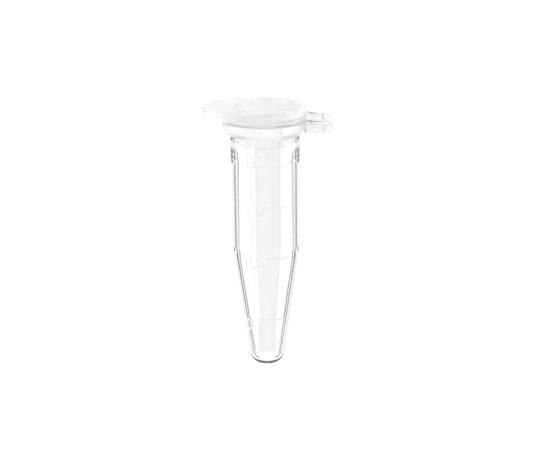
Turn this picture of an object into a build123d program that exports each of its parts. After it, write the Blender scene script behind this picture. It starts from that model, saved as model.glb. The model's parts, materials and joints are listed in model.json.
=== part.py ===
from build123d import *
from math import atan2, cos, degrees, hypot, pi, radians, sin, sqrt, tan
import os

# A 1.5 mL snap-cap microcentrifuge tube, one polypropylene moulding split into its working regions.
# Millimetres, +Z up. The origin is on the tube's axis, in the plane of the rim's underside.
# The hinge is on the +X side, the thumb tab on -X, and the graduations face -Y.

os.makedirs("parts", exist_ok=True)

# ---- tube: outside ----
COLLAR_R = 5.45             # plain cylinder under the rim, which sits in a rack or rotor hole
COLLAR_DEPTH = 4.25
STEP_DROP = 0.15            # height of the small step from the collar down to the barrel
BARREL_TOP_R = 5.3          # the barrel has a slight draft, down to the cone
CONE_TOP_R = 5.16
CONE_TOP_Z = -18.8
CONE_HALF_ANGLE = 8.65      # degrees
TIP_Z = -37.1
TIP_DOME_R = 4.4            # the flat dome at the very bottom
TIP_CORNER_R = 1.8          # between the dome and the cone

# ---- tube: inside ----
WALL = 0.82                 # thickness of the cone and the tip
BORE_R = 4.4                # straight part of the barrel
BORE_TOP_Z = -4.7
COLLAR_BORE_R = 4.65
COLLAR_BORE_END_Z = -2.2    # below the plug the wall thickens gently, down to the straight part
FLARE_START_Z = -0.9        # above this the mouth opens, so that the plug can swing in
FLARE_SLOPE = 0.1
LEAD_IN = 0.35

# ---- rim ----
RIM_R = 6.6
RIM_TOP_Z = 2.1
RIM_SEAT_R = 5.8            # flat underside out to here, then a 45 degree slope out to the edge
RIM_EDGE_R = 0.25

# ---- lid ----
LID_R = 6.65
LID_UNDER_Z = 3.1
LID_TOP_Z = 4.45
LID_EDGE_R = 0.4
TAB_R = 6.5                 # the wide rounded lobe that a thumb lifts
TAB_CENTRE_X = -3.45
TAB_ROOT_X = -5.2
RECESS_R = 4.5              # shallow round recess in the lid's top
RECESS_DEPTH = 0.35
RECESS_EDGE_R = 0.1
DISC_THICKNESS = 0.25       # the frosted field that is the recess's floor
SKIRT_R = 6.4
SKIRT_UNDER_Z = 2.4
SKIRT_EDGE_R = 0.2

# ---- sealing plug ----
PLUG_R = 4.4
PLUG_INNER_R = 3.65
PLUG_BOTTOM_Z = -1.6
PLUG_TAPER = 0.15           # the foot of the plug narrows by this much
PLUG_TAPER_HEIGHT = 0.45
BEAD_R = 4.6                # the raised ring that seals on the collar's bore
BEAD_Z = -0.6
BEAD_HALF_HEIGHT = 0.5

# ---- hinge ----
HINGE_X = 9.9
HINGE_Z = 1.6
STRAP_WIDTH = 6.0
FOLD_R = 0.95               # outside of the folded strap, from the hinge axis
ARM_THICKNESS = 0.7
ARM_END_GAP = 0.5           # each arm stops this far before the hinge axis
FILM_THICKNESS = 0.28
LID_ARM_ROOT_TOP_Z = 2.95
LID_ARM_DROP_X = 7.1        # clear of the rim, so that the arm can drop below the rim's top

# ---- graduations ----
MARK_HEIGHT = 0.1           # how far the marks stand off the wall at the rim
MARK_DRAFT = 0.002          # they stand off this much more for each millimetre down
LINE_WIDTH = 0.32
DIGIT_HEIGHT = 1.9
DIGIT_WIDTH = 1.15
DIGIT_STROKE = 0.3
DIGIT_ADVANCE = 1.4
POINT_ADVANCE = 0.6
TEXT_GAP = 0.35             # from the numerals to the start of their line
BOWL_SHARE = 0.58           # size of the bowl of a five, as a share of half its height
BOWL_STEPS = 6              # strokes round that bowl
POINT_R = 0.18              # decimal point
GRADUATIONS = [             # numerals, height of the line's top, length of the line round the wall
    ("1.5", -2.65, 2.6),
    ("1.0", -10.75, 3.5),
    ("0.5", -19.0, 4.2),
    ("0.1", -29.2, 2.6),
]

# ---- worked out from the above ----
BARREL_TOP_Z = -COLLAR_DEPTH - STEP_DROP
CONE_SLOPE = tan(radians(CONE_HALF_ANGLE))
CONE_INSET = WALL / cos(radians(CONE_HALF_ANGLE))
DOME_CENTRE_Z = TIP_Z + TIP_DOME_R
FLARE_TOP_Z = RIM_TOP_Z - LEAD_IN
FLARE_TOP_R = COLLAR_BORE_R + (FLARE_TOP_Z - FLARE_START_Z) * FLARE_SLOPE
INNER_CONE_TOP_Z = CONE_TOP_Z + (BORE_R + CONE_INSET - CONE_TOP_R) / CONE_SLOPE
ARM_END_X = HINGE_X - ARM_END_GAP


def save(piece, node):
    """Label a finished piece and write it as a node of its own."""
    piece.part.label = node
    export_step(piece.part, f"parts/{node}.step")


def cone_r(z):
    """Outer radius of the cone at height z."""
    return CONE_TOP_R - (CONE_TOP_Z - z) * CONE_SLOPE


def outer_r(z):
    """Outer radius of the tube at height z, below the rim."""
    if z >= -COLLAR_DEPTH:
        return COLLAR_R
    if z > CONE_TOP_Z:
        share = (BARREL_TOP_Z - z) / (BARREL_TOP_Z - CONE_TOP_Z)
        return BARREL_TOP_R + (CONE_TOP_R - BARREL_TOP_R) * share
    return cone_r(z)


def dome_end(inset):
    """Radius and height where the tip's dome meets the cone, at a depth of inset in the wall."""
    dome_r = TIP_DOME_R - inset
    line_r = cone_r(DOME_CENTRE_Z) - inset / cos(radians(CONE_HALF_ANGLE))
    spread = 1 + CONE_SLOPE**2
    root = sqrt((line_r * CONE_SLOPE) ** 2 - spread * (line_r**2 - dome_r**2))
    drop = (line_r * CONE_SLOPE + root) / spread
    return line_r - drop * CONE_SLOPE, DOME_CENTRE_Z - drop


def tube_profile(upper_points, inset):
    """Half of a lengthwise section: the points from the mouth to the cone, then the rounded tip."""
    corner = dome_end(inset)
    tip = (0, TIP_Z + inset)
    with BuildSketch(Plane.XZ) as profile:
        with BuildLine():
            Polyline((0, RIM_TOP_Z), *upper_points, corner)
            RadiusArc(corner, tip, TIP_DOME_R - inset)
            Line(tip, (0, RIM_TOP_Z))
        make_face()
        tip_corner = profile.vertices().sort_by_distance((*corner, 0))[0]
        fillet(tip_corner, TIP_CORNER_R - inset)
    return profile.sketch


def ring_profile(*points):
    """Half section of a ring, straight from point to point."""
    with BuildSketch(Plane.XZ) as profile:
        with BuildLine():
            Polyline(*points, close=True)
        make_face()
    return profile.sketch


# ================= tube body =================
with BuildPart() as tube_body:
    outside = tube_profile(
        [
            (RIM_SEAT_R, RIM_TOP_Z),
            (RIM_SEAT_R, 0),
            (COLLAR_R, 0),
            (COLLAR_R, -COLLAR_DEPTH),
            (BARREL_TOP_R, BARREL_TOP_Z),
            (CONE_TOP_R, CONE_TOP_Z),
        ],
        inset=0,
    )
    revolve(outside, axis=Axis.Z)
    inside = tube_profile(
        [
            (FLARE_TOP_R + LEAD_IN, RIM_TOP_Z),
            (FLARE_TOP_R, FLARE_TOP_Z),
            (COLLAR_BORE_R, FLARE_START_Z),
            (COLLAR_BORE_R, COLLAR_BORE_END_Z),
            (BORE_R, BORE_TOP_Z),
            (BORE_R, INNER_CONE_TOP_Z),
        ],
        inset=WALL,
    )
    revolve(inside, axis=Axis.Z, mode=Mode.SUBTRACT)
save(tube_body, "tube_body")

# ================= rim flange =================
with BuildPart() as rim_flange:
    section = ring_profile(
        (RIM_SEAT_R, 0),
        (RIM_R, RIM_R - RIM_SEAT_R),
        (RIM_R, RIM_TOP_Z),
        (RIM_SEAT_R, RIM_TOP_Z),
    )
    revolve(section, axis=Axis.Z)
    rim_edges = rim_flange.edges().filter_by(GeomType.CIRCLE).group_by(SortBy.RADIUS)[-1]
    fillet(rim_edges, RIM_EDGE_R)
save(rim_flange, "rim_flange")

# ================= lid plate and thumb tab, cut from one rounded blank =================
with BuildPart() as lid_blank:
    with BuildSketch(Plane.XY.offset(LID_UNDER_Z)):
        Circle(LID_R)
        with Locations((TAB_CENTRE_X, 0)):
            Circle(TAB_R)
        make_hull()
    extrude(amount=LID_TOP_Z - LID_UNDER_Z)
    fillet(lid_blank.edges().group_by(Axis.Z)[-1], LID_EDGE_R)
    fillet(lid_blank.edges().group_by(Axis.Z)[0], LID_EDGE_R / 2)

with BuildPart() as lid_plate:
    add(lid_blank.part)
    split(bisect_by=Plane.YZ.offset(TAB_ROOT_X), keep=Keep.TOP)
    with BuildSketch(Plane.XY.offset(LID_TOP_Z)):
        Circle(RECESS_R)
    extrude(amount=-RECESS_DEPTH - DISC_THICKNESS, mode=Mode.SUBTRACT)
    top_circles = lid_plate.edges().filter_by(GeomType.CIRCLE).group_by(Axis.Z)[-1]
    fillet(top_circles.sort_by(SortBy.RADIUS)[0], RECESS_EDGE_R)
save(lid_plate, "lid_plate")

with BuildPart() as thumb_tab:
    add(lid_blank.part)
    split(bisect_by=Plane.YZ.offset(TAB_ROOT_X), keep=Keep.BOTTOM)
save(thumb_tab, "thumb_tab")

# ================= frosted floor of the lid's recess =================
with BuildPart() as lid_disc:
    with BuildSketch(Plane.XY.offset(LID_TOP_Z - RECESS_DEPTH)):
        Circle(RECESS_R)
    extrude(amount=-DISC_THICKNESS)
save(lid_disc, "lid_disc")

# ================= skirt under the lid, which stops just above the rim =================
with BuildPart() as lid_skirt:
    with BuildSketch(Plane.XY.offset(SKIRT_UNDER_Z)):
        Circle(SKIRT_R)
        Circle(PLUG_R, mode=Mode.SUBTRACT)
    extrude(amount=LID_UNDER_Z - SKIRT_UNDER_Z)
    under_edges = lid_skirt.edges().filter_by(GeomType.CIRCLE).group_by(Axis.Z)[0]
    fillet(under_edges.sort_by(SortBy.RADIUS)[-1], SKIRT_EDGE_R)
save(lid_skirt, "lid_skirt")

# ================= sealing plug, a hollow cup open at the bottom =================
with BuildPart() as sealing_plug:
    section = ring_profile(
        (PLUG_INNER_R, LID_UNDER_Z),
        (PLUG_R, LID_UNDER_Z),
        (PLUG_R, PLUG_BOTTOM_Z + PLUG_TAPER_HEIGHT),
        (PLUG_R - PLUG_TAPER, PLUG_BOTTOM_Z),
        (PLUG_INNER_R + PLUG_TAPER, PLUG_BOTTOM_Z),
        (PLUG_INNER_R, PLUG_BOTTOM_Z + PLUG_TAPER_HEIGHT),
    )
    revolve(section, axis=Axis.Z)
save(sealing_plug, "sealing_plug")

# ================= bead round the plug =================
with BuildPart() as sealing_bead:
    bead_low = (PLUG_R, BEAD_Z - BEAD_HALF_HEIGHT)
    bead_high = (PLUG_R, BEAD_Z + BEAD_HALF_HEIGHT)
    with BuildSketch(Plane.XZ):
        with BuildLine():
            ThreePointArc(bead_low, (BEAD_R, BEAD_Z), bead_high)
            Line(bead_high, bead_low)
        make_face()
    revolve(axis=Axis.Z)
save(sealing_bead, "sealing_bead")

# ================= hinge: the strap's two arms and the thin fold =================
TUBE_ARM_UNDER_Z = HINGE_Z - FOLD_R
LID_ARM_TOP_Z = HINGE_Z + FOLD_R

with BuildPart() as tube_hinge_arm:
    outline = ring_profile(
        (COLLAR_R, TUBE_ARM_UNDER_Z),
        (ARM_END_X, TUBE_ARM_UNDER_Z),
        (ARM_END_X, TUBE_ARM_UNDER_Z + ARM_THICKNESS),
        (COLLAR_R, TUBE_ARM_UNDER_Z + ARM_THICKNESS),
    )
    extrude(outline, amount=STRAP_WIDTH / 2, both=True)
    add(rim_flange.part, mode=Mode.SUBTRACT)
    add(tube_body.part, mode=Mode.SUBTRACT)
save(tube_hinge_arm, "tube_hinge_arm")

with BuildPart() as lid_hinge_arm:
    outline = ring_profile(
        (PLUG_R, SKIRT_UNDER_Z + SKIRT_EDGE_R),
        (LID_ARM_DROP_X, SKIRT_UNDER_Z),
        (LID_ARM_DROP_X, LID_ARM_TOP_Z - ARM_THICKNESS),
        (ARM_END_X, LID_ARM_TOP_Z - ARM_THICKNESS),
        (ARM_END_X, LID_ARM_TOP_Z),
        (LID_ARM_DROP_X, LID_ARM_TOP_Z),
        (LID_R, LID_ARM_ROOT_TOP_Z),
        (PLUG_R, LID_ARM_ROOT_TOP_Z),
    )
    extrude(outline, amount=STRAP_WIDTH / 2, both=True)
    with BuildSketch(Plane.XY.offset(SKIRT_UNDER_Z)):
        Circle(SKIRT_R)
    extrude(amount=LID_UNDER_Z - SKIRT_UNDER_Z, mode=Mode.SUBTRACT)
save(lid_hinge_arm, "lid_hinge_arm")

with BuildPart() as living_hinge:
    with BuildSketch(Plane.XZ):
        with Locations((HINGE_X, HINGE_Z)):
            Circle(FOLD_R)
            Circle(FOLD_R - FILM_THICKNESS, mode=Mode.SUBTRACT)
            Rectangle(FOLD_R, 2 * FOLD_R, align=(Align.MAX, Align.CENTER), mode=Mode.SUBTRACT)
        for film_z in (TUBE_ARM_UNDER_Z + FILM_THICKNESS / 2, LID_ARM_TOP_Z - FILM_THICKNESS / 2):
            with Locations((ARM_END_X, film_z)):
                Rectangle(ARM_END_GAP, FILM_THICKNESS, align=(Align.MIN, Align.CENTER))
    extrude(amount=STRAP_WIDTH / 2, both=True)
save(living_hinge, "living_hinge")

# ================= graduations, raised on the outside of the wall =================
MARKS_MARGIN = 1
MARKS_TOP_Z = GRADUATIONS[0][1] + MARKS_MARGIN
MARKS_BOTTOM_Z = GRADUATIONS[-1][1] - DIGIT_HEIGHT - MARKS_MARGIN
WALL_HEIGHTS = (MARKS_TOP_Z, -COLLAR_DEPTH, BARREL_TOP_Z, CONE_TOP_Z, MARKS_BOTTOM_Z)
WALL_POINTS = [(outer_r(z), z) for z in WALL_HEIGHTS]

with BuildPart() as mark_layer:
    stand_off_points = [(r + MARK_HEIGHT - MARK_DRAFT * z, z) for r, z in reversed(WALL_POINTS)]
    revolve(ring_profile(*WALL_POINTS, *stand_off_points), axis=Axis.Z)


def facing_plane(along_wall, z):
    """Upright plane through the axis, facing the wall at a distance along it from its middle line."""
    turn = along_wall / outer_r(z)
    return Plane(origin=(0, 0, z), x_dir=(cos(turn), sin(turn), 0), z_dir=(sin(turn), -cos(turn), 0))


def stroke(start, end):
    """One round-ended stroke of a numeral."""
    run, rise = end[0] - start[0], end[1] - start[1]
    with Locations(((start[0] + end[0]) / 2, (start[1] + end[1]) / 2)):
        SlotCenterToCenter(hypot(run, rise), DIGIT_STROKE, rotation=degrees(atan2(rise, run)))


def draw_zero(x):
    with Locations((x, 0)):
        SlotOverall(DIGIT_HEIGHT, DIGIT_WIDTH, rotation=90)
        SlotOverall(
            DIGIT_HEIGHT - 2 * DIGIT_STROKE,
            DIGIT_WIDTH - 2 * DIGIT_STROKE,
            rotation=90,
            mode=Mode.SUBTRACT,
        )


def draw_one(x):
    top = (DIGIT_HEIGHT - DIGIT_STROKE) / 2
    stroke((x, top), (x, -top))
    stroke((x, top), (x - DIGIT_WIDTH / 3, top - DIGIT_WIDTH / 3))


def draw_five(x):
    top = (DIGIT_HEIGHT - DIGIT_STROKE) / 2
    side = (DIGIT_WIDTH - DIGIT_STROKE) / 2
    bowl_r = top * BOWL_SHARE
    bowl_x = x + side - bowl_r
    stroke((x - side, top), (x + side, top))
    stroke((x - side, top), (x - side, 2 * bowl_r - top))
    stroke((x - side, 2 * bowl_r - top), (bowl_x, 2 * bowl_r - top))
    stroke((bowl_x, -top), (x - side, -top))
    angles = [pi / 2 - pi * step / BOWL_STEPS for step in range(BOWL_STEPS + 1)]
    bowl = [(bowl_x + bowl_r * cos(a), bowl_r - top + bowl_r * sin(a)) for a in angles]
    for start, end in zip(bowl, bowl[1:]):
        stroke(start, end)


def draw_point(x):
    with Locations((x, POINT_R - DIGIT_HEIGHT / 2)):
        Circle(POINT_R)


DRAW = {"0": draw_zero, "1": draw_one, "5": draw_five, ".": draw_point}

with BuildPart() as graduation_numerals:
    for numerals, line_top_z, _ in GRADUATIONS:
        advances = [POINT_ADVANCE if sign == "." else DIGIT_ADVANCE for sign in numerals]
        middle_z = line_top_z - DIGIT_HEIGHT / 2
        with BuildSketch(facing_plane(-TEXT_GAP - sum(advances) / 2, middle_z)):
            x = -sum(advances) / 2
            for sign, advance in zip(numerals, advances):
                DRAW[sign](x + advance / 2)
                x += advance
        extrude(amount=RIM_R)
    add(mark_layer.part, mode=Mode.INTERSECT)
save(graduation_numerals, "graduation_numerals")

with BuildPart() as graduation_lines:
    for _, line_top_z, line_length in GRADUATIONS:
        sweep_angle = degrees(line_length / outer_r(line_top_z))
        with BuildSketch(Plane.XY.offset(line_top_z - LINE_WIDTH)):
            with BuildLine():
                arc = CenterArc((0, 0), RIM_R, -90, sweep_angle)
                Line((0, 0), arc @ 0)
                Line((0, 0), arc @ 1)
            make_face()
        extrude(amount=LINE_WIDTH)
    add(mark_layer.part, mode=Mode.INTERSECT)
save(graduation_lines, "graduation_lines")
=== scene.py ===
import bpy
import json
from math import atan2, cos, pi, radians, sin, sqrt, tan
from mathutils import Matrix, Vector


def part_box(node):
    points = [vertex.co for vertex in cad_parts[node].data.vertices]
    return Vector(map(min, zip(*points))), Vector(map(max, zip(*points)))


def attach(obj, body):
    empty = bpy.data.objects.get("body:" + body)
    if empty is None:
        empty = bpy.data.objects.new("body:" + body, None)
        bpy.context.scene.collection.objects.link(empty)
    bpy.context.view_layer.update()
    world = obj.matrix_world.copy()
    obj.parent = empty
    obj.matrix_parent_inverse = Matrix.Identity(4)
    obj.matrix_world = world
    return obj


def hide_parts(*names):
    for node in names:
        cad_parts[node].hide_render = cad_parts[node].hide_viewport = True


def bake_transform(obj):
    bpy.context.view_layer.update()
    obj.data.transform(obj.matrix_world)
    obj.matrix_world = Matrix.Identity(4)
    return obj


# A clear 1.5 mL microcentrifuge tube with its snap lid closed, in the CAD model's frame.
# Lengths are in millimetres until a mesh is made. The frame and the studio are in metres.

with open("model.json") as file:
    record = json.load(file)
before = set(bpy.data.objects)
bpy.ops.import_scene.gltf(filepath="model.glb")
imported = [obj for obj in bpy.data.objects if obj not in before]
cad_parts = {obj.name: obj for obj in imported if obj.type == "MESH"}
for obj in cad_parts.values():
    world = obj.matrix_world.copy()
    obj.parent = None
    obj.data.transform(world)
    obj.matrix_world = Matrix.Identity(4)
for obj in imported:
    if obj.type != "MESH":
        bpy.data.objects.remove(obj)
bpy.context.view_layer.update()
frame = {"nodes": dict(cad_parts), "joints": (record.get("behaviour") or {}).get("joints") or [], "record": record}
MM = 0.001
TURN = 2 * pi

mounts = {m["name"]: m for m in frame["record"]["mounts"]}
hinge = frame["joints"][0]


def low_high(node):
    """A CAD node's lowest and highest corners, in millimetres."""
    low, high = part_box(node)
    return low / MM, high / MM


# ---- sizes read from the frame ----
COLLAR_R = mounts["rack_barrel"]["dims"]["r_mm"]
COLLAR_DEPTH = mounts["rack_barrel"]["dims"]["length_mm"]
BORE_R = mounts["sample_bore"]["dims"]["r_mm"]
HINGE_X = hinge["pos_m"][0] / MM
HINGE_Z = hinge["pos_m"][2] / MM
TIP_Z = low_high("tube_body")[0].z
SEAT_R = low_high("tube_body")[1].x
RIM_R, _, RIM_TOP_Z = low_high("rim_flange")[1]
LID_R = low_high("lid_plate")[1].x
LID_UNDER_Z = low_high("lid_plate")[0].z
LID_TOP_Z = low_high("lid_plate")[1].z
TAB_END_X = low_high("thumb_tab")[0].x
RECESS_R = low_high("lid_disc")[1].x
RECESS_FLOOR_Z = low_high("lid_disc")[1].z
SKIRT_R = low_high("lid_skirt")[1].x
SKIRT_UNDER_Z = low_high("lid_skirt")[0].z
PLUG_R = low_high("sealing_plug")[1].x
PLUG_BOTTOM_Z = low_high("sealing_plug")[0].z
BEAD_R = low_high("sealing_bead")[1].x
BEAD_LOW_Z, BEAD_HIGH_Z = (corner.z for corner in low_high("sealing_bead"))
STRAP_WIDTH = low_high("tube_hinge_arm")[1].y * 2
ARM_END_X = low_high("tube_hinge_arm")[1].x
TUBE_ARM_LOW_Z, TUBE_ARM_HIGH_Z = (corner.z for corner in low_high("tube_hinge_arm"))
FOLD_R = low_high("living_hinge")[1].x - HINGE_X

# ---- sizes of the surfaces between ----
STEP_DROP = 0.15
BARREL_TOP_R = 5.3
CONE_TOP_R = 5.16
CONE_TOP_Z = -18.8
CONE_HALF_ANGLE = radians(8.65)
TIP_DOME_R = 4.4
TIP_CORNER_R = 1.8
WALL = 0.82
BORE_TOP_Z = -4.7
COLLAR_BORE_R = 4.65
COLLAR_BORE_END_Z = -2.2
FLARE_START_Z = -0.9
FLARE_TOP_R = 4.915
LEAD_IN = 0.35
TAB_R = 6.5
TAB_CENTRE_X = TAB_END_X + TAB_R
PLUG_INNER_R = 3.65
FILM_THICKNESS = 0.28

# ---- tube: corner radii ----
WALL_BEND_R = 4.0           # the gentle bends where the wall changes slope
MOUTH_BEND_R = 3.0
BARREL_TOP_EDGE_R = 0.12
COLLAR_FOOT_EDGE_R = 0.1
COLLAR_TOP_EDGE_R = 0.12
SEAT_EDGE_R = 0.3
RIM_LOWER_EDGE_R = 0.45
RIM_UPPER_EDGE_R = 0.3
MOUTH_EDGE_R = 0.15
LEAD_IN_EDGE_R = 0.4

# ---- lid: corner radii and small steps ----
RECESS_EDGE_R = 0.1
LID_UPPER_EDGE_R = 0.4
LID_LOWER_EDGE_R = 0.2
SKIRT_EDGE_R = 0.2
PLUG_ROOT_R = 0.2
BEAD_FOOT_R = 0.3
BEAD_CREST_R = 0.55
PLUG_FOOT_R = 0.15
PLUG_ROOF_R = 0.4
PLUG_TAPER = 0.15
PLUG_DRAFT = 0.1
EDGE_BAND = 0.5             # how much of the plate, in from its edge, follows the tab's outline
SLIVER = 0.001              # far smaller than any feature

# ---- strap ----
LID_ARM_DROP_X = 7.1        # clear of the rim, so that the arm can drop below the rim's top
LID_ARM_DROP_END_X = 7.15
LID_ARM_SLOPE_X = 7.3
LID_ARM_ROOT_X = 6.5
LID_ARM_ROOT_TOP_Z = 2.95
LID_ARM_LIFT = 0.1          # how far its root's underside is above the skirt's
RIM_OVERLAP = 0.35
SKIRT_OVERLAP = 0.3
ARM_ROOT_EDGE_R = 0.02
ARM_INNER_EDGE_R = 0.25
ARM_OUTER_EDGE_R = 0.15
ARM_FOOT_EDGE_R = 0.2
ARM_SLOPE_EDGE_R = 0.4
ARM_TOP_EDGE_R = 0.05
ARM_SIDE_R = 0.15
FILM_TONGUE = 0.35          # the fold's ends lie this far inside the arms
FILM_SIDE_R = 0.06

# ---- fineness of the meshes ----
LATHE_STEPS = 160
ARC_STEP = radians(10)
LEAST_CORNER_STEPS = 3
CORNER_HOLD = 0.04          # a point this far before and after each rounded corner keeps the flats flat
TIP_STEPS = 12
SIDE_STEPS = 5
FILM_STEPS = 24

# ================= profiles =================


def rounded(corners):
    """A line through the corners, each a point and the radius that rounds it. Its ends stay sharp."""
    points = [Vector(point) for point, _ in corners]
    radii = [radius for _, radius in corners]
    out = [points[0]]
    for i in range(1, len(points) - 1):
        here = points[i]
        radius = radii[i]
        if radius == 0:
            out.append(here)
            continue
        back = (points[i - 1] - here).normalized()
        ahead = (points[i + 1] - here).normalized()
        half = back.angle(ahead) / 2
        reach = radius / tan(half)
        centre = here + (back + ahead).normalized() * (radius / sin(half))
        first = here + back * reach
        last = here + ahead * reach
        start = first - centre
        sweep = pi - 2 * half
        turn = 1 if back.x * ahead.y - back.y * ahead.x < 0 else -1
        steps = max(LEAST_CORNER_STEPS, round(sweep / ARC_STEP))
        out.append(first + back * CORNER_HOLD)
        for k in range(steps + 1):
            angle = turn * sweep * k / steps
            spoke = Vector((
                start.x * cos(angle) - start.y * sin(angle),
                start.x * sin(angle) + start.y * cos(angle),
            ))
            out.append(centre + spoke)
        out.append(last + ahead * CORNER_HOLD)
    out.append(points[-1])
    return out


def cone_r(z):
    return CONE_TOP_R - (CONE_TOP_Z - z) * tan(CONE_HALF_ANGLE)


def dome_end(inset):
    """Where the tip's dome meets the cone, at a depth of inset in the wall."""
    slope = tan(CONE_HALF_ANGLE)
    centre_z = TIP_Z + TIP_DOME_R
    line_r = cone_r(centre_z) - inset / cos(CONE_HALF_ANGLE)
    spread = 1 + slope**2
    root = sqrt((line_r * slope) ** 2 - spread * (line_r**2 - (TIP_DOME_R - inset) ** 2))
    drop = (line_r * slope + root) / spread
    return Vector((line_r - drop * slope, centre_z - drop))


def tip_points(inset):
    """The rounded tip, from the axis out to the cone, at a depth of inset in the wall."""
    dome_centre = Vector((0, TIP_Z + TIP_DOME_R))
    corner_centre = dome_end(TIP_CORNER_R)
    outward = corner_centre - dome_centre
    join_angle = atan2(outward.y, outward.x)
    points = []
    for k in range(TIP_STEPS + 1):
        angle = -pi / 2 + (join_angle + pi / 2) * k / TIP_STEPS
        points.append(dome_centre + (TIP_DOME_R - inset) * Vector((cos(angle), sin(angle))))
    for k in range(1, TIP_STEPS + 1):
        angle = join_angle + (-CONE_HALF_ANGLE - join_angle) * k / TIP_STEPS
        points.append(corner_centre + (TIP_CORNER_R - inset) * Vector((cos(angle), sin(angle))))
    return points


# ================= meshes =================


def make_piece(name, verts, faces):
    """A smooth mesh piece from points in millimetres."""
    mesh = bpy.data.meshes.new(name)
    mesh.from_pydata([Vector(v) * MM for v in verts], [], faces)
    mesh.validate()
    mesh.shade_smooth()
    piece = bpy.data.objects.new(name, mesh)
    bpy.context.scene.collection.objects.link(piece)
    return piece


def lathe(name, profile, reach=None):
    """Turn a profile that starts and ends on the axis. reach(point, angle) gives a point's radius."""
    first, last = profile[0], profile[-1]
    middle = profile[1:-1]
    verts = [(0, 0, first.y)]
    faces = []
    for point in middle:
        for k in range(LATHE_STEPS):
            angle = TURN * k / LATHE_STEPS
            r = reach(point, angle) if reach else point.x
            verts.append((r * cos(angle), r * sin(angle), point.y))
    verts.append((0, 0, last.y))
    end = len(verts) - 1
    for k in range(LATHE_STEPS):
        nxt = (k + 1) % LATHE_STEPS
        faces.append((0, 1 + nxt, 1 + k))
        for ring in range(len(middle) - 1):
            a = 1 + ring * LATHE_STEPS
            b = a + LATHE_STEPS
            faces.append((a + k, a + nxt, b + nxt, b + k))
        base = 1 + (len(middle) - 1) * LATHE_STEPS
        faces.append((base + k, base + nxt, end))
    return make_piece(name, verts, faces)


def strip(name, outline, width, edge_r):
    """A strap of constant section in X and Z, across Y, with its long edges rounded. The outline goes
    anticlockwise, with X to the right and Z up."""
    inner = width / 2 - edge_r
    slices = []
    for k in range(SIDE_STEPS + 1):
        angle = pi / 2 * k / SIDE_STEPS
        slices.append((-inner - edge_r * cos(angle), edge_r * (1 - sin(angle))))
    slices += [(-y, inset) for y, inset in reversed(slices)]
    count = len(outline)
    verts, faces = [], []
    for y, inset in slices:
        for i in range(count):
            here = outline[i]
            back = outline[i - 1] - here
            ahead = outline[(i + 1) % count] - here
            tangent = (ahead.normalized() - back.normalized()).normalized()
            normal = Vector((-tangent.y, tangent.x))
            point = here + normal * inset
            verts.append((point.x, y, point.y))
    for s in range(len(slices) - 1):
        for i in range(count):
            j = (i + 1) % count
            a, b = s * count, (s + 1) * count
            faces.append((a + i, b + i, b + j, a + j))
    faces.append(tuple(range(count)))
    faces.append(tuple(reversed(range(len(verts) - count, len(verts)))))
    return make_piece(name, verts, faces)


# ================= tube =================


def build_tube():
    barrel_top_z = -COLLAR_DEPTH - STEP_DROP
    cone_inset = WALL / cos(CONE_HALF_ANGLE)
    inner_cone_top_z = CONE_TOP_Z + (BORE_R + cone_inset - CONE_TOP_R) / tan(CONE_HALF_ANGLE)
    outer_tip, inner_tip = tip_points(0), tip_points(WALL)
    corners = [
        (outer_tip[-1], 0),
        ((CONE_TOP_R, CONE_TOP_Z), WALL_BEND_R),
        ((BARREL_TOP_R, barrel_top_z), BARREL_TOP_EDGE_R),
        ((COLLAR_R, -COLLAR_DEPTH), COLLAR_FOOT_EDGE_R),
        ((COLLAR_R, 0), COLLAR_TOP_EDGE_R),
        ((SEAT_R, 0), SEAT_EDGE_R),
        ((RIM_R, RIM_R - SEAT_R), RIM_LOWER_EDGE_R),
        ((RIM_R, RIM_TOP_Z), RIM_UPPER_EDGE_R),
        ((FLARE_TOP_R + LEAD_IN, RIM_TOP_Z), MOUTH_EDGE_R),
        ((FLARE_TOP_R, RIM_TOP_Z - LEAD_IN), LEAD_IN_EDGE_R),
        ((COLLAR_BORE_R, FLARE_START_Z), MOUTH_BEND_R),
        ((COLLAR_BORE_R, COLLAR_BORE_END_Z), WALL_BEND_R),
        ((BORE_R, BORE_TOP_Z), WALL_BEND_R),
        ((BORE_R, inner_cone_top_z), WALL_BEND_R),
        (inner_tip[-1], 0),
    ]
    profile = outer_tip[:-1] + rounded(corners) + list(reversed(inner_tip[:-1]))
    return lathe("tube_shell", profile)


tube_shell = build_tube()
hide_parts("tube_body", "rim_flange")
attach(tube_shell, "tube")

# ================= lid =================


def lid_outline_r(angle):
    """Distance from the axis to the lid's outline: a circle, a lobe beyond it, and the lines between."""
    ux, uy = cos(angle), abs(sin(angle))
    along = TAB_CENTRE_X * ux
    lobe = along + sqrt(along**2 - TAB_CENTRE_X**2 + TAB_R**2)
    side = LID_R / max(uy - ux * (LID_R - TAB_R) / -TAB_CENTRE_X, SLIVER)
    on_side = TAB_CENTRE_X <= side * ux <= 0
    return max(LID_R, lobe, side if on_side else 0)


def lid_reach(point, angle):
    """Only the plate's rounded edge follows the outline; the rest stays round."""
    above_skirt = point.y > LID_UNDER_Z + SLIVER and point.x > LID_R - EDGE_BAND
    beyond_skirt = point.x > SKIRT_R + SLIVER
    if above_skirt or beyond_skirt:
        return lid_outline_r(angle) - (LID_R - point.x)
    return point.x


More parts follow.
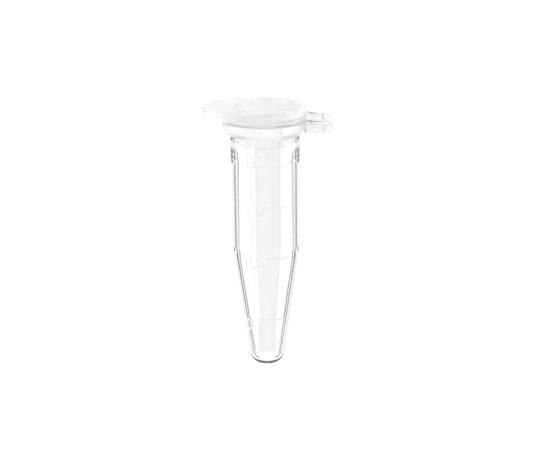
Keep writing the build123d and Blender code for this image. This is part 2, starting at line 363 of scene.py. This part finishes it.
def build_lid():
    bead_z = (BEAD_LOW_Z + BEAD_HIGH_Z) / 2
    corners = [
        ((0, RECESS_FLOOR_Z), 0),
        ((RECESS_R, RECESS_FLOOR_Z), RECESS_EDGE_R),
        ((RECESS_R, LID_TOP_Z), RECESS_EDGE_R),
        ((LID_R, LID_TOP_Z), LID_UPPER_EDGE_R),
        ((LID_R, LID_UNDER_Z), LID_LOWER_EDGE_R),
        ((SKIRT_R, LID_UNDER_Z), 0),
        ((SKIRT_R, SKIRT_UNDER_Z), SKIRT_EDGE_R),
        ((PLUG_R, SKIRT_UNDER_Z), PLUG_ROOT_R),
        ((PLUG_R, BEAD_HIGH_Z), BEAD_FOOT_R),
        ((BEAD_R, bead_z), BEAD_CREST_R),
        ((PLUG_R, BEAD_LOW_Z), BEAD_FOOT_R),
        ((PLUG_R - PLUG_TAPER, PLUG_BOTTOM_Z), PLUG_FOOT_R),
        ((PLUG_INNER_R + PLUG_DRAFT, PLUG_BOTTOM_Z), PLUG_FOOT_R),
        ((PLUG_INNER_R, LID_UNDER_Z), PLUG_ROOF_R),
        ((0, LID_UNDER_Z), 0),
    ]
    return lathe("lid_shell", list(reversed(rounded(corners))), lid_reach)


lid_shell = build_lid()
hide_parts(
    "lid_plate", "thumb_tab", "lid_disc", "lid_skirt", "sealing_plug", "sealing_bead"
)
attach(lid_shell, "lid")

# ================= strap =================


def strap_outline(corners):
    """A closed outline with every corner rounded. It starts in the middle of its last side."""
    middle = (Vector(corners[-1][0]) + Vector(corners[0][0])) / 2
    line = rounded([(middle, 0)] + corners + [(middle, 0)])
    return line[:-1]


tube_arm = strip(
    "tube_strap_arm",
    strap_outline([
        ((RIM_R - RIM_OVERLAP, TUBE_ARM_LOW_Z), ARM_ROOT_EDGE_R),
        ((ARM_END_X, TUBE_ARM_LOW_Z), ARM_OUTER_EDGE_R),
        ((ARM_END_X, TUBE_ARM_HIGH_Z), ARM_INNER_EDGE_R),
        ((RIM_R - RIM_OVERLAP, TUBE_ARM_HIGH_Z), ARM_ROOT_EDGE_R),
    ]),
    STRAP_WIDTH,
    ARM_SIDE_R,
)
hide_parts("tube_hinge_arm")
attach(tube_arm, "tube")

lid_arm_top = HINGE_Z + FOLD_R
lid_arm_under = lid_arm_top - (TUBE_ARM_HIGH_Z - TUBE_ARM_LOW_Z)
lid_arm = strip(
    "lid_strap_arm",
    strap_outline([
        ((SKIRT_R - SKIRT_OVERLAP, SKIRT_UNDER_Z + LID_ARM_LIFT), ARM_ROOT_EDGE_R),
        ((LID_ARM_DROP_X, SKIRT_UNDER_Z + LID_ARM_LIFT / 2), ARM_FOOT_EDGE_R),
        ((LID_ARM_DROP_END_X, lid_arm_under), ARM_OUTER_EDGE_R),
        ((ARM_END_X, lid_arm_under), ARM_INNER_EDGE_R),
        ((ARM_END_X, lid_arm_top), ARM_OUTER_EDGE_R),
        ((LID_ARM_SLOPE_X, lid_arm_top), ARM_SLOPE_EDGE_R),
        ((LID_ARM_ROOT_X, LID_ARM_ROOT_TOP_Z), ARM_TOP_EDGE_R),
        ((SKIRT_R - SKIRT_OVERLAP, LID_ARM_ROOT_TOP_Z), ARM_ROOT_EDGE_R),
    ]),
    STRAP_WIDTH,
    ARM_SIDE_R,
)
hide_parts("lid_hinge_arm")
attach(lid_arm, "lid")


def build_film():
    """The thin fold: a tongue along each arm and a half turn between them."""
    outer, inner = [], []
    for r, side in ((FOLD_R, outer), (FOLD_R - FILM_THICKNESS, inner)):
        side.append(Vector((ARM_END_X - FILM_TONGUE, HINGE_Z - r)))
        side.append(Vector((ARM_END_X, HINGE_Z - r)))
        for k in range(FILM_STEPS + 1):
            angle = -pi / 2 + pi * k / FILM_STEPS
            side.append(Vector((HINGE_X + r * cos(angle), HINGE_Z + r * sin(angle))))
        side.append(Vector((ARM_END_X, HINGE_Z + r)))
        side.append(Vector((ARM_END_X - FILM_TONGUE, HINGE_Z + r)))
    return strip("hinge_film", outer + list(reversed(inner)), STRAP_WIDTH, FILM_SIDE_R)


film = build_film()
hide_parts("living_hinge")
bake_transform(film)

# ================= materials =================
PLASTIC_IOR = 1.49
CLEAR_SHADE = 0.99
CLEAR_ROUGHNESS = (0.02, 0.07)
SPECKLE_SCALE = 0.35        # noise scales are in cycles per millimetre, and depths in millimetres
FLOW_SCALE = 0.12
FLOW_DEPTH = 0.01
FLOW_STRENGTH = 0.15
CLOUD_SCALE = 0.25
CLOUD_SHADE = 0.98          # the darkest of the cloudiness, as a share of the shade
GRAIN_SCALE = 1.6
GRAIN_DETAIL = 3.0
GRAIN_DEPTH = 0.004
SCATTER_DEPTH = 1.2


def new_material(name):
    material = bpy.data.materials.new(name)
    material.use_nodes = True
    nodes = material.node_tree.nodes
    return material, nodes, material.node_tree.links, nodes["Principled BSDF"]


def object_noise(nodes, links, scale, detail=2.0):
    """A noise texture in the object's own coordinates, with scale in cycles per millimetre."""
    coords = nodes.new("ShaderNodeTexCoord")
    noise = nodes.new("ShaderNodeTexNoise")
    noise.inputs["Scale"].default_value = scale / MM
    noise.inputs["Detail"].default_value = detail
    links.new(coords.outputs["Object"], noise.inputs["Vector"])
    return noise.outputs["Fac"]


def mapped(nodes, links, value, low, high):
    """value from 0 to 1 mapped to the range from low to high."""
    ramp = nodes.new("ShaderNodeMapRange")
    ramp.inputs["To Min"].default_value = low
    ramp.inputs["To Max"].default_value = high
    links.new(value, ramp.inputs["Value"])
    return ramp.outputs["Result"]


def bumped(nodes, links, shader, height, distance, strength):
    bump = nodes.new("ShaderNodeBump")
    bump.inputs["Distance"].default_value = distance * MM
    bump.inputs["Strength"].default_value = strength
    links.new(height, bump.inputs["Height"])
    links.new(bump.outputs["Normal"], shader.inputs["Normal"])


def clear_plastic():
    """Polished natural polypropylene: clear, with faint flow marks in the surface."""
    material, nodes, links, shader = new_material("clear_polypropylene")
    shader.inputs["Base Color"].default_value = (CLEAR_SHADE, CLEAR_SHADE, CLEAR_SHADE, 1)
    shader.inputs["IOR"].default_value = PLASTIC_IOR
    shader.inputs["Transmission Weight"].default_value = 1.0
    speckle = object_noise(nodes, links, SPECKLE_SCALE)
    links.new(mapped(nodes, links, speckle, *CLEAR_ROUGHNESS), shader.inputs["Roughness"])
    bumped(nodes, links, shader, object_noise(nodes, links, FLOW_SCALE), FLOW_DEPTH, FLOW_STRENGTH)
    return material


def hazy_plastic(name, shade, haze, solid, roughness, grain, deep=True):
    """Natural polypropylene where it is thick or textured. haze is the share of light that scatters,
    below the surface where deep, and solid is the share that doesn't pass straight through."""
    material, nodes, links, shader = new_material(name)
    shader.inputs["IOR"].default_value = PLASTIC_IOR
    cloud = object_noise(nodes, links, CLOUD_SCALE)
    tint = nodes.new("ShaderNodeMix")
    tint.data_type = "RGBA"
    darker = shade * CLOUD_SHADE
    tint.inputs["A"].default_value = (darker, darker, darker, 1)
    tint.inputs["B"].default_value = (shade, shade, shade, 1)
    links.new(cloud, tint.inputs["Factor"])
    links.new(tint.outputs["Result"], shader.inputs["Base Color"])
    shader.inputs["Transmission Weight"].default_value = 1 - haze
    shader.inputs["Alpha"].default_value = solid
    shader.inputs["Subsurface Weight"].default_value = 1 if deep else 0
    shader.inputs["Subsurface Radius"].default_value = (1, 1, 1)
    shader.inputs["Subsurface Scale"].default_value = SCATTER_DEPTH * MM
    links.new(mapped(nodes, links, cloud, *roughness), shader.inputs["Roughness"])
    grains = object_noise(nodes, links, GRAIN_SCALE, GRAIN_DETAIL)
    bumped(nodes, links, shader, grains, GRAIN_DEPTH, grain)
    return material


clear = clear_plastic()
hazy_rim = hazy_plastic("hazy_rim", shade=1.0, haze=0.75, solid=0.75, roughness=(0.1, 0.2), grain=0.1)
hazy_lid = hazy_plastic("hazy_lid", shade=0.95, haze=0.65, solid=0.6, roughness=(0.12, 0.2), grain=0.12)
# the recess's floor is really frosted, but its shade, greyer than the lid's, is painted shade for the dark inside
# of the tube seen through it
frosted_disc = hazy_plastic(
    "frosted_disc", shade=0.89, haze=0.85, solid=0.8, roughness=(0.3, 0.4), grain=0.4
)
smooth_plug = hazy_plastic(
    "smooth_plug", shade=1.0, haze=0.1, solid=0.3, roughness=(0.03, 0.07), grain=0.08
)
hazy_strap = hazy_plastic(
    "hazy_strap", shade=0.96, haze=0.6, solid=0.5, roughness=(0.15, 0.25), grain=0.15
)
frosted_marks = hazy_plastic(
    "frosted_marks", shade=1.0, haze=0.95, solid=0.6, roughness=(0.5, 0.6), grain=0.3, deep=False
)


def dress(piece, *materials, choose=None):
    """Give a piece its materials. choose(r, z) picks one for a face by its middle, in millimetres."""
    piece.data.materials.clear()
    for material in materials:
        piece.data.materials.append(material)
    if choose:
        for face in piece.data.polygons:
            middle = face.center / MM
            face.material_index = choose(middle.xy.length, middle.z)


RIM_TOP_BAND = 0.5          # the rim's haze goes this far down inside the mouth
REGION_MARGIN = 0.05
FLAT_MARGIN = 0.01


def tube_region(r, z):
    """1 on the rim's outside and round its top, and 0 on the clear walls."""
    outside = r > SEAT_R - REGION_MARGIN and z > REGION_MARGIN
    return 1 if outside or z > RIM_TOP_Z - RIM_TOP_BAND else 0


def lid_region(r, z):
    """1 on the recess's floor, which is greyed with painted shade, 2 on the plug and its bead, and 0 elsewhere."""
    if r < RECESS_R and abs(z - RECESS_FLOOR_Z) < 2 * FLAT_MARGIN:
        return 1
    return 2 if z < SKIRT_UNDER_Z - FLAT_MARGIN else 0


dress(tube_shell, clear, hazy_rim, choose=tube_region)
dress(lid_shell, hazy_lid, frosted_disc, smooth_plug, choose=lid_region)
for strap_piece in (tube_arm, lid_arm, film):
    dress(strap_piece, hazy_strap)
for node in ("graduation_lines", "graduation_numerals"):
    for slot in frame["nodes"][node].material_slots:
        slot.material = frosted_marks

# ================= studio, in metres =================
FLOOR_Z = -0.15
FLOOR_HALF = 6.0
FLOOR_LIGHT = 1.08
SKY_LIGHT = 1.0
VIEW_DISTANCE = 1.2
VIEW_ELEVATION = radians(13)
VIEW_TARGET = Vector((0.00064, 0, -0.01476))
VIEW_ROLL = radians(-0.65)
FIELD_WIDTH = 0.08504
SENSOR_WIDTH = 36           # in millimetres, as Blender takes it
CLIP_START = 0.01
QUARTERS = (0, 90, 180, 270)    # where the sets of flags stand, in degrees round from the camera's side
CAMERA_QUARTER = 0
BACK_QUARTER = 180
FRONT_FLAG_LIGHT = 0.45     # the least light of the flags on the camera's side
FLAG_R = 0.1
FLAG_SPLIT_Z = -0.05
BARREL_FLAG_TOP_Z = -0.0243
FLAGS = [                   # name, lower and upper z, degrees from and to on each side of a quarter, light
    ("collar", -0.0222, -0.0195, 22, 32, 0.0),
    ("barrel", FLAG_SPLIT_Z, BARREL_FLAG_TOP_Z, 27, 34, 0.0),
    ("barrel_edge", FLAG_SPLIT_Z, BARREL_FLAG_TOP_Z, 34, 39, 0.55),
    ("cone", FLOOR_Z, FLAG_SPLIT_Z, 31, 40, 0.0),
]
BACK_FLAGS = [              # more of them, behind the tube only, to soften the lines seen from the camera
    ("barrel_fade", FLAG_SPLIT_Z, BARREL_FLAG_TOP_Z, 39, 45, 0.55),
    ("cone_fade", FLOOR_Z, FLAG_SPLIT_Z, 40, 46, 0.5),
]
TENT_R = 0.4
TENT_TOP_Z = 0.5
TENT_LIGHT = 0.92
BOX_R = 0.2
BOX_TOP_Z = 0.25
BOX_LIGHT = 3.6
LEFT_BOX = (-118, -36)      # degrees round from the camera's side
RIGHT_BOX = (52, 118)
ARC_STEPS = 24


def stage_material(name, light):
    """An even light of its own, or black where light is 0."""
    material, _, _, shader = new_material(name)
    shader.inputs["Base Color"].default_value = (0, 0, 0, 1)
    shader.inputs["Roughness"].default_value = 1
    shader.inputs["Specular IOR Level"].default_value = 0
    shader.inputs["Emission Color"].default_value = (1, 1, 1, 1)
    shader.inputs["Emission Strength"].default_value = light
    return material


def stage_piece(name, verts, faces, light):
    """A lit part of the studio, which isn't part of the tube."""
    mesh = bpy.data.meshes.new(name)
    mesh.from_pydata(verts, [], faces)
    piece = bpy.data.objects.new(name, mesh)
    bpy.context.scene.collection.objects.link(piece)
    dress(piece, stage_material(name, light))
    return piece


def build_panel(name, radius, from_angle, to_angle, low_z, high_z, light, in_gloss):
    """An upright curved panel round the tube. Angles are in degrees round from the camera's side.
    It shows either in reflections or through clear walls, and never to the camera itself."""
    verts, faces = [], []
    for k in range(ARC_STEPS + 1):
        angle = radians(from_angle + (to_angle - from_angle) * k / ARC_STEPS)
        for z in (low_z, high_z):
            verts.append((radius * sin(angle), -radius * cos(angle), z))
        if k:
            faces.append((2 * k - 2, 2 * k, 2 * k + 1, 2 * k - 1))
    panel = stage_piece(name, verts, faces, light)
    panel.visible_camera = False
    panel.visible_diffuse = False
    panel.visible_shadow = False
    panel.visible_transmission = not in_gloss
    panel.visible_glossy = in_gloss


def build_studio():
    """A lit floor under an even sky. Panels beside the camera show in reflections as two tall soft boxes.
    A pale tent all round shows through clear walls, and narrow black flags before it line them."""
    corners = [(-1, -1), (1, -1), (1, 1), (-1, 1)]
    floor_points = [(x * FLOOR_HALF, y * FLOOR_HALF, FLOOR_Z) for x, y in corners]
    stage_piece("floor", floor_points, [(0, 1, 2, 3)], FLOOR_LIGHT)
    build_panel("tent", TENT_R, 0, 360, FLOOR_Z, TENT_TOP_Z, TENT_LIGHT, False)
    for quarter in QUARTERS:
        flags = FLAGS + BACK_FLAGS if quarter == BACK_QUARTER else FLAGS
        for part, low_z, high_z, start, end, light in flags:
            shown = max(light, FRONT_FLAG_LIGHT) if quarter == CAMERA_QUARTER else light
            for side in (-1, 1):
                name = f"flag_{part}_{quarter}_{side}"
                first = quarter + side * start
                last = quarter + side * end
                build_panel(name, FLAG_R, first, last, low_z, high_z, shown, False)
    build_panel("left_box", BOX_R, *LEFT_BOX, FLOOR_Z, BOX_TOP_Z, BOX_LIGHT, True)
    build_panel("right_box", BOX_R, *RIGHT_BOX, FLOOR_Z, BOX_TOP_Z, BOX_LIGHT, True)
    world = bpy.data.worlds.new("studio")
    bpy.context.scene.world = world
    world.use_nodes = True
    background = world.node_tree.nodes["Background"]
    background.inputs["Color"].default_value = (1, 1, 1, 1)
    background.inputs["Strength"].default_value = SKY_LIGHT


def build_camera():
    data = bpy.data.cameras.new("camera")
    data.sensor_width = SENSOR_WIDTH
    data.lens = SENSOR_WIDTH * VIEW_DISTANCE / FIELD_WIDTH
    data.clip_start = CLIP_START
    camera = bpy.data.objects.new("camera", data)
    bpy.context.scene.collection.objects.link(camera)
    back = Vector((0, -cos(VIEW_ELEVATION), sin(VIEW_ELEVATION)))
    aim = (-back).to_track_quat("-Z", "Y").to_matrix().to_4x4()
    camera.matrix_world = (
        Matrix.Translation(VIEW_TARGET + back * VIEW_DISTANCE)
        @ aim
        @ Matrix.Rotation(VIEW_ROLL, 4, "Z")
    )
    bpy.context.scene.camera = camera


build_studio()
build_camera()
bpy.context.scene.view_settings.view_transform = "Standard"
